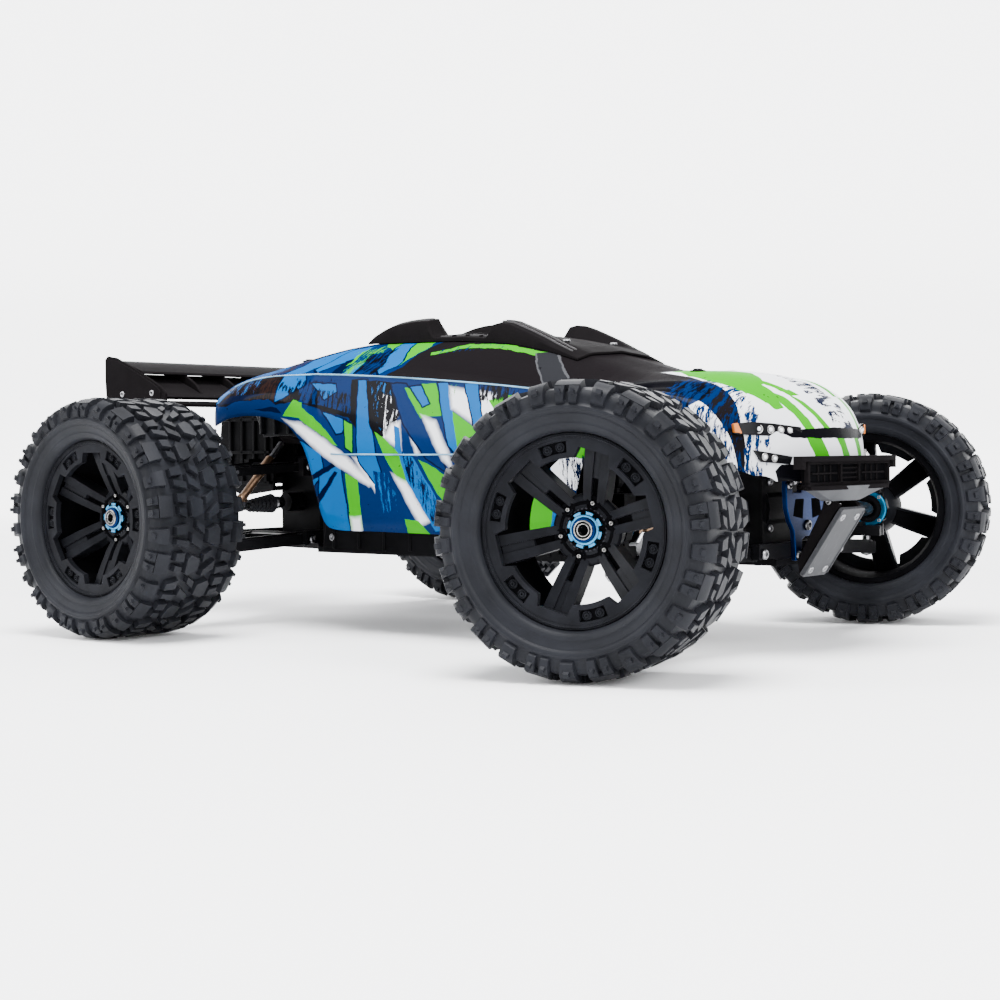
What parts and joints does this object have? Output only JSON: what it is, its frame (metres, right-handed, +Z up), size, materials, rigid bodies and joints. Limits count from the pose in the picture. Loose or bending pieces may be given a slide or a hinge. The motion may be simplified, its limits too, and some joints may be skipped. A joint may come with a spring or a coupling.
{
  "type": "radio-controlled monster truck",
  "caption": "Radio-controlled monster truck with a lift-off painted shell, pushrod double-wishbone suspension, steering, roof skid and rear wing.",
  "frame": {"origin": "on the ground under the middle of the whole truck's box, with the front wheels steered to the left", "axes": "+X forward, +Y to the truck's left, +Z up"},
  "size_m": [0.6048, 0.4961, 0.2167],
  "materials": {
    "painted_shell": "clear shell painted from inside: blue, cyan, green and white shards with black, glossy",
    "black_nylon": "moulded glass-filled nylon, fine grain",
    "satin_black": "satin moulded plastic",
    "grey_plate": "scuffed grey moulded plastic",
    "blue_anodised": "deep blue anodised",
    "teal_anodised": "light blue anodised",
    "steel": "turned and polished",
    "motor_metal": "black finned can",
    "battery_wrap": "hard case, satin",
    "wheel_nylon": "satin dark grey moulded wheel",
    "light_lens": "clear moulded lens",
    "gloss_black": "gloss black window paint",
    "spring": "powder-coated spring wire",
    "tyre": "soft blue-grey rubber, matt"
  },
  "bodies": {
    "chassis": {"chassis_tub": "black_nylon", "front_gear_housing": "black_nylon", "rear_gear_housing": "black_nylon", "gearbox": "black_nylon", "motor": "motor_metal", "battery_left": "battery_wrap", "battery_right": "battery_wrap", "speed_controller": "black_nylon", "steering_servo": "black_nylon", "front_bumper": "satin_black", "bumper_brace": "blue_anodised", "front_skid_plate": "grey_plate", "front_left_shock_body": "teal_anodised", "front_right_shock_body": "teal_anodised", "rear_left_shock_body": "teal_anodised", "rear_right_shock_body": "teal_anodised"},
    "front_left_lower_arm": {"front_left_lower_arm": "black_nylon"},
    "front_left_upper_arm": {"front_left_upper_arm": "black_nylon"},
    "front_left_upright": {"front_left_upright": "black_nylon"},
    "front_left_half_shaft": {"front_left_half_shaft": "steel"},
    "front_left_pushrod": {"front_left_pushrod": "steel"},
    "front_left_rocker": {"front_left_rocker": "teal_anodised"},
    "front_left_shock_rod": {"front_left_shock_rod": "steel"},
    "front_left_wheel": {"front_left_rim": "wheel_nylon", "front_left_tyre": "tyre"},
    "pillow_ball_left": {"pillow_ball_left": "steel"},
    "front_right_lower_arm": {"front_right_lower_arm": "black_nylon"},
    "front_right_upper_arm": {"front_right_upper_arm": "black_nylon"},
    "front_right_upright": {"front_right_upright": "black_nylon"},
    "front_right_half_shaft": {"front_right_half_shaft": "steel"},
    "front_right_pushrod": {"front_right_pushrod": "steel"},
    "front_right_rocker": {"front_right_rocker": "teal_anodised"},
    "front_right_shock_rod": {"front_right_shock_rod": "steel"},
    "front_right_wheel": {"front_right_rim": "wheel_nylon", "front_right_tyre": "tyre"},
    "pillow_ball_right": {"pillow_ball_right": "steel"},
    "rear_left_lower_arm": {"rear_left_lower_arm": "black_nylon"},
    "rear_left_upper_arm": {"rear_left_upper_arm": "black_nylon"},
    "rear_left_upright": {"rear_left_upright": "black_nylon"},
    "rear_left_half_shaft": {"rear_left_half_shaft": "steel"},
    "rear_left_pushrod": {"rear_left_pushrod": "steel"},
    "rear_left_rocker": {"rear_left_rocker": "teal_anodised"},
    "rear_left_shock_rod": {"rear_left_shock_rod": "steel"},
    "rear_left_wheel": {"rear_left_rim": "wheel_nylon", "rear_left_tyre": "tyre"},
    "rear_right_lower_arm": {"rear_right_lower_arm": "black_nylon"},
    "rear_right_upper_arm": {"rear_right_upper_arm": "black_nylon"},
    "rear_right_upright": {"rear_right_upright": "black_nylon"},
    "rear_right_half_shaft": {"rear_right_half_shaft": "steel"},
    "rear_right_pushrod": {"rear_right_pushrod": "steel"},
    "rear_right_rocker": {"rear_right_rocker": "teal_anodised"},
    "rear_right_shock_rod": {"rear_right_shock_rod": "steel"},
    "rear_right_wheel": {"rear_right_rim": "wheel_nylon", "rear_right_tyre": "tyre"},
    "steering_rack": {"steering_rack": "black_nylon"},
    "tie_rod_left": {"tie_rod_left": "steel"},
    "tie_rod_right": {"tie_rod_right": "steel"},
    "shell": {"body_shell": "painted_shell", "roof_skid": "satin_black", "rear_wing": "satin_black"}
  },
  "joints": [
    {"name": "front_left_suspension", "type": "hinge", "parent": "chassis", "child": "front_left_lower_arm", "pos_m": [0.2065, 0.047, 0.061], "axis": [1, 0, 0], "range_deg": [-12, 14], "stiffness_Nm_per_rad": 8, "springref_deg": -9.45},
    {"name": "front_left_upper_arm_pivot", "type": "hinge", "parent": "chassis", "child": "front_left_upper_arm", "pos_m": [0.2065, 0.047, 0.114], "axis": [1, 0, 0], "range_deg": [-12.6, 14.6]},
    {"name": "front_left_half_shaft_tilt", "type": "hinge", "parent": "chassis", "child": "front_left_half_shaft", "pos_m": [0.2065, 0.047, 0.0875], "axis": [1, 0, 0], "range_deg": [-12.6, 14.6]},
    {"name": "pillow_ball_left_tilt", "type": "hinge", "parent": "front_left_lower_arm", "child": "pillow_ball_left", "pos_m": [0.2065, 0.153, 0.055], "axis": [1, 0, 0], "range_deg": [-14.6, 12.6]},
    {"name": "front_left_pushrod_swing", "type": "hinge", "parent": "front_left_lower_arm", "child": "front_left_pushrod", "pos_m": [0.197, 0.118, 0.0665], "axis": [1, 0, 0], "range_deg": [-8.16, 7.08]},
    {"name": "front_left_rocker_pivot", "type": "hinge", "parent": "chassis", "child": "front_left_rocker", "pos_m": [0.169, 0.047, 0.137], "axis": [0, -0.7046, -0.7096], "range_deg": [-23.71, 27.56]},
    {"name": "front_left_shock_stroke", "type": "slide", "parent": "chassis", "child": "front_left_shock_rod", "axis": [-1, 0, 0], "range_m": [-0.00847, 0.00981]},
    {"name": "front_left_wheel_spin", "type": "hinge", "parent": "front_left_upright", "child": "front_left_wheel", "pos_m": [0.19325, 0.18862, 0.0815], "axis": [-0.3486, 0.9373, 0], "continuous": true},
    {"name": "front_right_suspension", "type": "hinge", "parent": "chassis", "child": "front_right_lower_arm", "pos_m": [0.2065, -0.047, 0.061], "axis": [-1, 0, 0], "range_deg": [-12, 14], "stiffness_Nm_per_rad": 8, "springref_deg": -9.45},
    {"name": "front_right_upper_arm_pivot", "type": "hinge", "parent": "chassis", "child": "front_right_upper_arm", "pos_m": [0.2065, -0.047, 0.114], "axis": [-1, 0, 0], "range_deg": [-12.6, 14.6]},
    {"name": "front_right_half_shaft_tilt", "type": "hinge", "parent": "chassis", "child": "front_right_half_shaft", "pos_m": [0.2065, -0.047, 0.0875], "axis": [-1, 0, 0], "range_deg": [-12.6, 14.6]},
    {"name": "pillow_ball_right_tilt", "type": "hinge", "parent": "front_right_lower_arm", "child": "pillow_ball_right", "pos_m": [0.2065, -0.153, 0.055], "axis": [-1, 0, 0], "range_deg": [-14.6, 12.6]},
    {"name": "front_right_pushrod_swing", "type": "hinge", "parent": "front_right_lower_arm", "child": "front_right_pushrod", "pos_m": [0.197, -0.118, 0.0665], "axis": [-1, 0, 0], "range_deg": [-8.16, 7.08]},
    {"name": "front_right_rocker_pivot", "type": "hinge", "parent": "chassis", "child": "front_right_rocker", "pos_m": [0.169, -0.047, 0.137], "axis": [0, -0.7046, 0.7096], "range_deg": [-23.71, 27.56]},
    {"name": "front_right_shock_stroke", "type": "slide", "parent": "chassis", "child": "front_right_shock_rod", "axis": [-1, 0, 0], "range_m": [-0.00847, 0.00981]},
    {"name": "front_right_wheel_spin", "type": "hinge", "parent": "front_right_upright", "child": "front_right_wheel", "pos_m": [0.21678, -0.18958, 0.0815], "axis": [-0.2706, 0.9627, 0], "continuous": true},
    {"name": "rear_left_suspension", "type": "hinge", "parent": "chassis", "child": "rear_left_lower_arm", "pos_m": [-0.1745, 0.047, 0.061], "axis": [1, 0, 0], "range_deg": [-12, 14], "stiffness_Nm_per_rad": 8, "springref_deg": -9.45},
    {"name": "rear_left_upper_arm_pivot", "type": "hinge", "parent": "chassis", "child": "rear_left_upper_arm", "pos_m": [-0.1745, 0.047, 0.114], "axis": [1, 0, 0], "range_deg": [-12.6, 14.6]},
    {"name": "rear_left_half_shaft_tilt", "type": "hinge", "parent": "chassis", "child": "rear_left_half_shaft", "pos_m": [-0.1745, 0.047, 0.0875], "axis": [1, 0, 0], "range_deg": [-12.6, 14.6]},
    {"name": "rear_left_upright_tilt", "type": "hinge", "parent": "rear_left_lower_arm", "child": "rear_left_upright", "pos_m": [-0.1745, 0.153, 0.055], "axis": [1, 0, 0], "range_deg": [-14.6, 12.6]},
    {"name": "rear_left_pushrod_swing", "type": "hinge", "parent": "rear_left_lower_arm", "child": "rear_left_pushrod", "pos_m": [-0.165, 0.118, 0.0665], "axis": [1, 0, 0], "range_deg": [-8.16, 7.08]},
    {"name": "rear_left_rocker_pivot", "type": "hinge", "parent": "chassis", "child": "rear_left_rocker", "pos_m": [-0.137, 0.047, 0.137], "axis": [0, 0.7046, 0.7096], "range_deg": [-23.71, 27.56]},
    {"name": "rear_left_shock_stroke", "type": "slide", "parent": "chassis", "child": "rear_left_shock_rod", "axis": [1, 0, 0], "range_m": [-0.00847, 0.00981]},
    {"name": "rear_left_wheel_spin", "type": "hinge", "parent": "rear_left_upright", "child": "rear_left_wheel", "pos_m": [-0.1745, 0.191, 0.0815], "axis": [0, 1, 0], "continuous": true},
    {"name": "rear_right_suspension", "type": "hinge", "parent": "chassis", "child": "rear_right_lower_arm", "pos_m": [-0.1745, -0.047, 0.061], "axis": [-1, 0, 0], "range_deg": [-12, 14], "stiffness_Nm_per_rad": 8, "springref_deg": -9.45},
    {"name": "rear_right_upper_arm_pivot", "type": "hinge", "parent": "chassis", "child": "rear_right_upper_arm", "pos_m": [-0.1745, -0.047, 0.114], "axis": [-1, 0, 0], "range_deg": [-12.6, 14.6]},
    {"name": "rear_right_half_shaft_tilt", "type": "hinge", "parent": "chassis", "child": "rear_right_half_shaft", "pos_m": [-0.1745, -0.047, 0.0875], "axis": [-1, 0, 0], "range_deg": [-12.6, 14.6]},
    {"name": "rear_right_upright_tilt", "type": "hinge", "parent": "rear_right_lower_arm", "child": "rear_right_upright", "pos_m": [-0.1745, -0.153, 0.055], "axis": [-1, 0, 0], "range_deg": [-14.6, 12.6]},
    {"name": "rear_right_pushrod_swing", "type": "hinge", "parent": "rear_right_lower_arm", "child": "rear_right_pushrod", "pos_m": [-0.165, -0.118, 0.0665], "axis": [-1, 0, 0], "range_deg": [-8.16, 7.08]},
    {"name": "rear_right_rocker_pivot", "type": "hinge", "parent": "chassis", "child": "rear_right_rocker", "pos_m": [-0.137, -0.047, 0.137], "axis": [0, 0.7046, -0.7096], "range_deg": [-23.71, 27.56]},
    {"name": "rear_right_shock_stroke", "type": "slide", "parent": "chassis", "child": "rear_right_shock_rod", "axis": [1, 0, 0], "range_m": [-0.00847, 0.00981]},
    {"name": "rear_right_wheel_spin", "type": "hinge", "parent": "rear_right_upright", "child": "rear_right_wheel", "pos_m": [-0.1745, -0.191, 0.0815], "axis": [0, 1, 0], "continuous": true},
    {"name": "front_right_steer", "type": "hinge", "parent": "pillow_ball_right", "child": "front_right_upright", "pos_m": [0.2065, -0.153, 0.055], "axis": [0, 0, 1], "range_deg": [-45.7, 14.3]},
    {"name": "front_left_steer", "type": "hinge", "parent": "pillow_ball_left", "child": "front_left_upright", "pos_m": [0.2065, 0.153, 0.055], "axis": [0, 0, 1], "range_deg": [-46.3, 14.9]},
    {"name": "steering_rack_slide", "type": "slide", "parent": "chassis", "child": "steering_rack", "axis": [0, 1, 0], "range_m": [-0.00789, 0.02433]},
    {"name": "tie_rod_left_tilt", "type": "hinge", "parent": "steering_rack", "child": "tie_rod_left", "pos_m": [0.17838, 0.03654, 0.0855], "axis": [1, 0, 0], "range_deg": [-12.6, 14.6]},
    {"name": "tie_rod_right_tilt", "type": "hinge", "parent": "steering_rack", "child": "tie_rod_right", "pos_m": [0.17762, -0.05512, 0.0855], "axis": [-1, 0, 0], "range_deg": [-12.6, 14.6]},
    {"name": "shell_lift", "type": "slide", "parent": "chassis", "child": "shell", "axis": [0, 0, 1], "range_m": [0, 0.22]}
  ],
  "couplings": [
    {"joint": "front_left_upper_arm_pivot", "follows": "front_left_suspension", "ratio": 1},
    {"joint": "front_left_half_shaft_tilt", "follows": "front_left_suspension", "ratio": 1},
    {"joint": "pillow_ball_left_tilt", "follows": "front_left_suspension", "ratio": -1},
    {"joint": "front_left_pushrod_swing", "follows": "front_left_suspension", "ratio": -0.54},
    {"joint": "front_left_rocker_pivot", "follows": "front_left_suspension", "ratio": 1.9261},
    {"joint": "front_left_shock_stroke", "follows": "front_left_suspension", "m_per_rad": 0.03852},
    {"joint": "front_right_upper_arm_pivot", "follows": "front_right_suspension", "ratio": 1},
    {"joint": "front_right_half_shaft_tilt", "follows": "front_right_suspension", "ratio": 1},
    {"joint": "pillow_ball_right_tilt", "follows": "front_right_suspension", "ratio": -1},
    {"joint": "front_right_pushrod_swing", "follows": "front_right_suspension", "ratio": -0.54},
    {"joint": "front_right_rocker_pivot", "follows": "front_right_suspension", "ratio": 1.9261},
    {"joint": "front_right_shock_stroke", "follows": "front_right_suspension", "m_per_rad": 0.03852},
    {"joint": "rear_left_upper_arm_pivot", "follows": "rear_left_suspension", "ratio": 1},
    {"joint": "rear_left_half_shaft_tilt", "follows": "rear_left_suspension", "ratio": 1},
    {"joint": "rear_left_upright_tilt", "follows": "rear_left_suspension", "ratio": -1},
    {"joint": "rear_left_pushrod_swing", "follows": "rear_left_suspension", "ratio": -0.54},
    {"joint": "rear_left_rocker_pivot", "follows": "rear_left_suspension", "ratio": 1.9261},
    {"joint": "rear_left_shock_stroke", "follows": "rear_left_suspension", "m_per_rad": 0.03852},
    {"joint": "rear_right_upper_arm_pivot", "follows": "rear_right_suspension", "ratio": 1},
    {"joint": "rear_right_half_shaft_tilt", "follows": "rear_right_suspension", "ratio": 1},
    {"joint": "rear_right_upright_tilt", "follows": "rear_right_suspension", "ratio": -1},
    {"joint": "rear_right_pushrod_swing", "follows": "rear_right_suspension", "ratio": -0.54},
    {"joint": "rear_right_rocker_pivot", "follows": "rear_right_suspension", "ratio": 1.9261},
    {"joint": "rear_right_shock_stroke", "follows": "rear_right_suspension", "m_per_rad": 0.03852},
    {"joint": "front_left_steer", "follows": "front_right_steer", "ratio": 1},
    {"joint": "steering_rack_slide", "follows": "front_right_steer", "m_per_rad": -0.03},
    {"joint": "tie_rod_left_tilt", "follows": "front_left_suspension", "ratio": 1},
    {"joint": "tie_rod_right_tilt", "follows": "front_right_suspension", "ratio": 1}
  ]
}
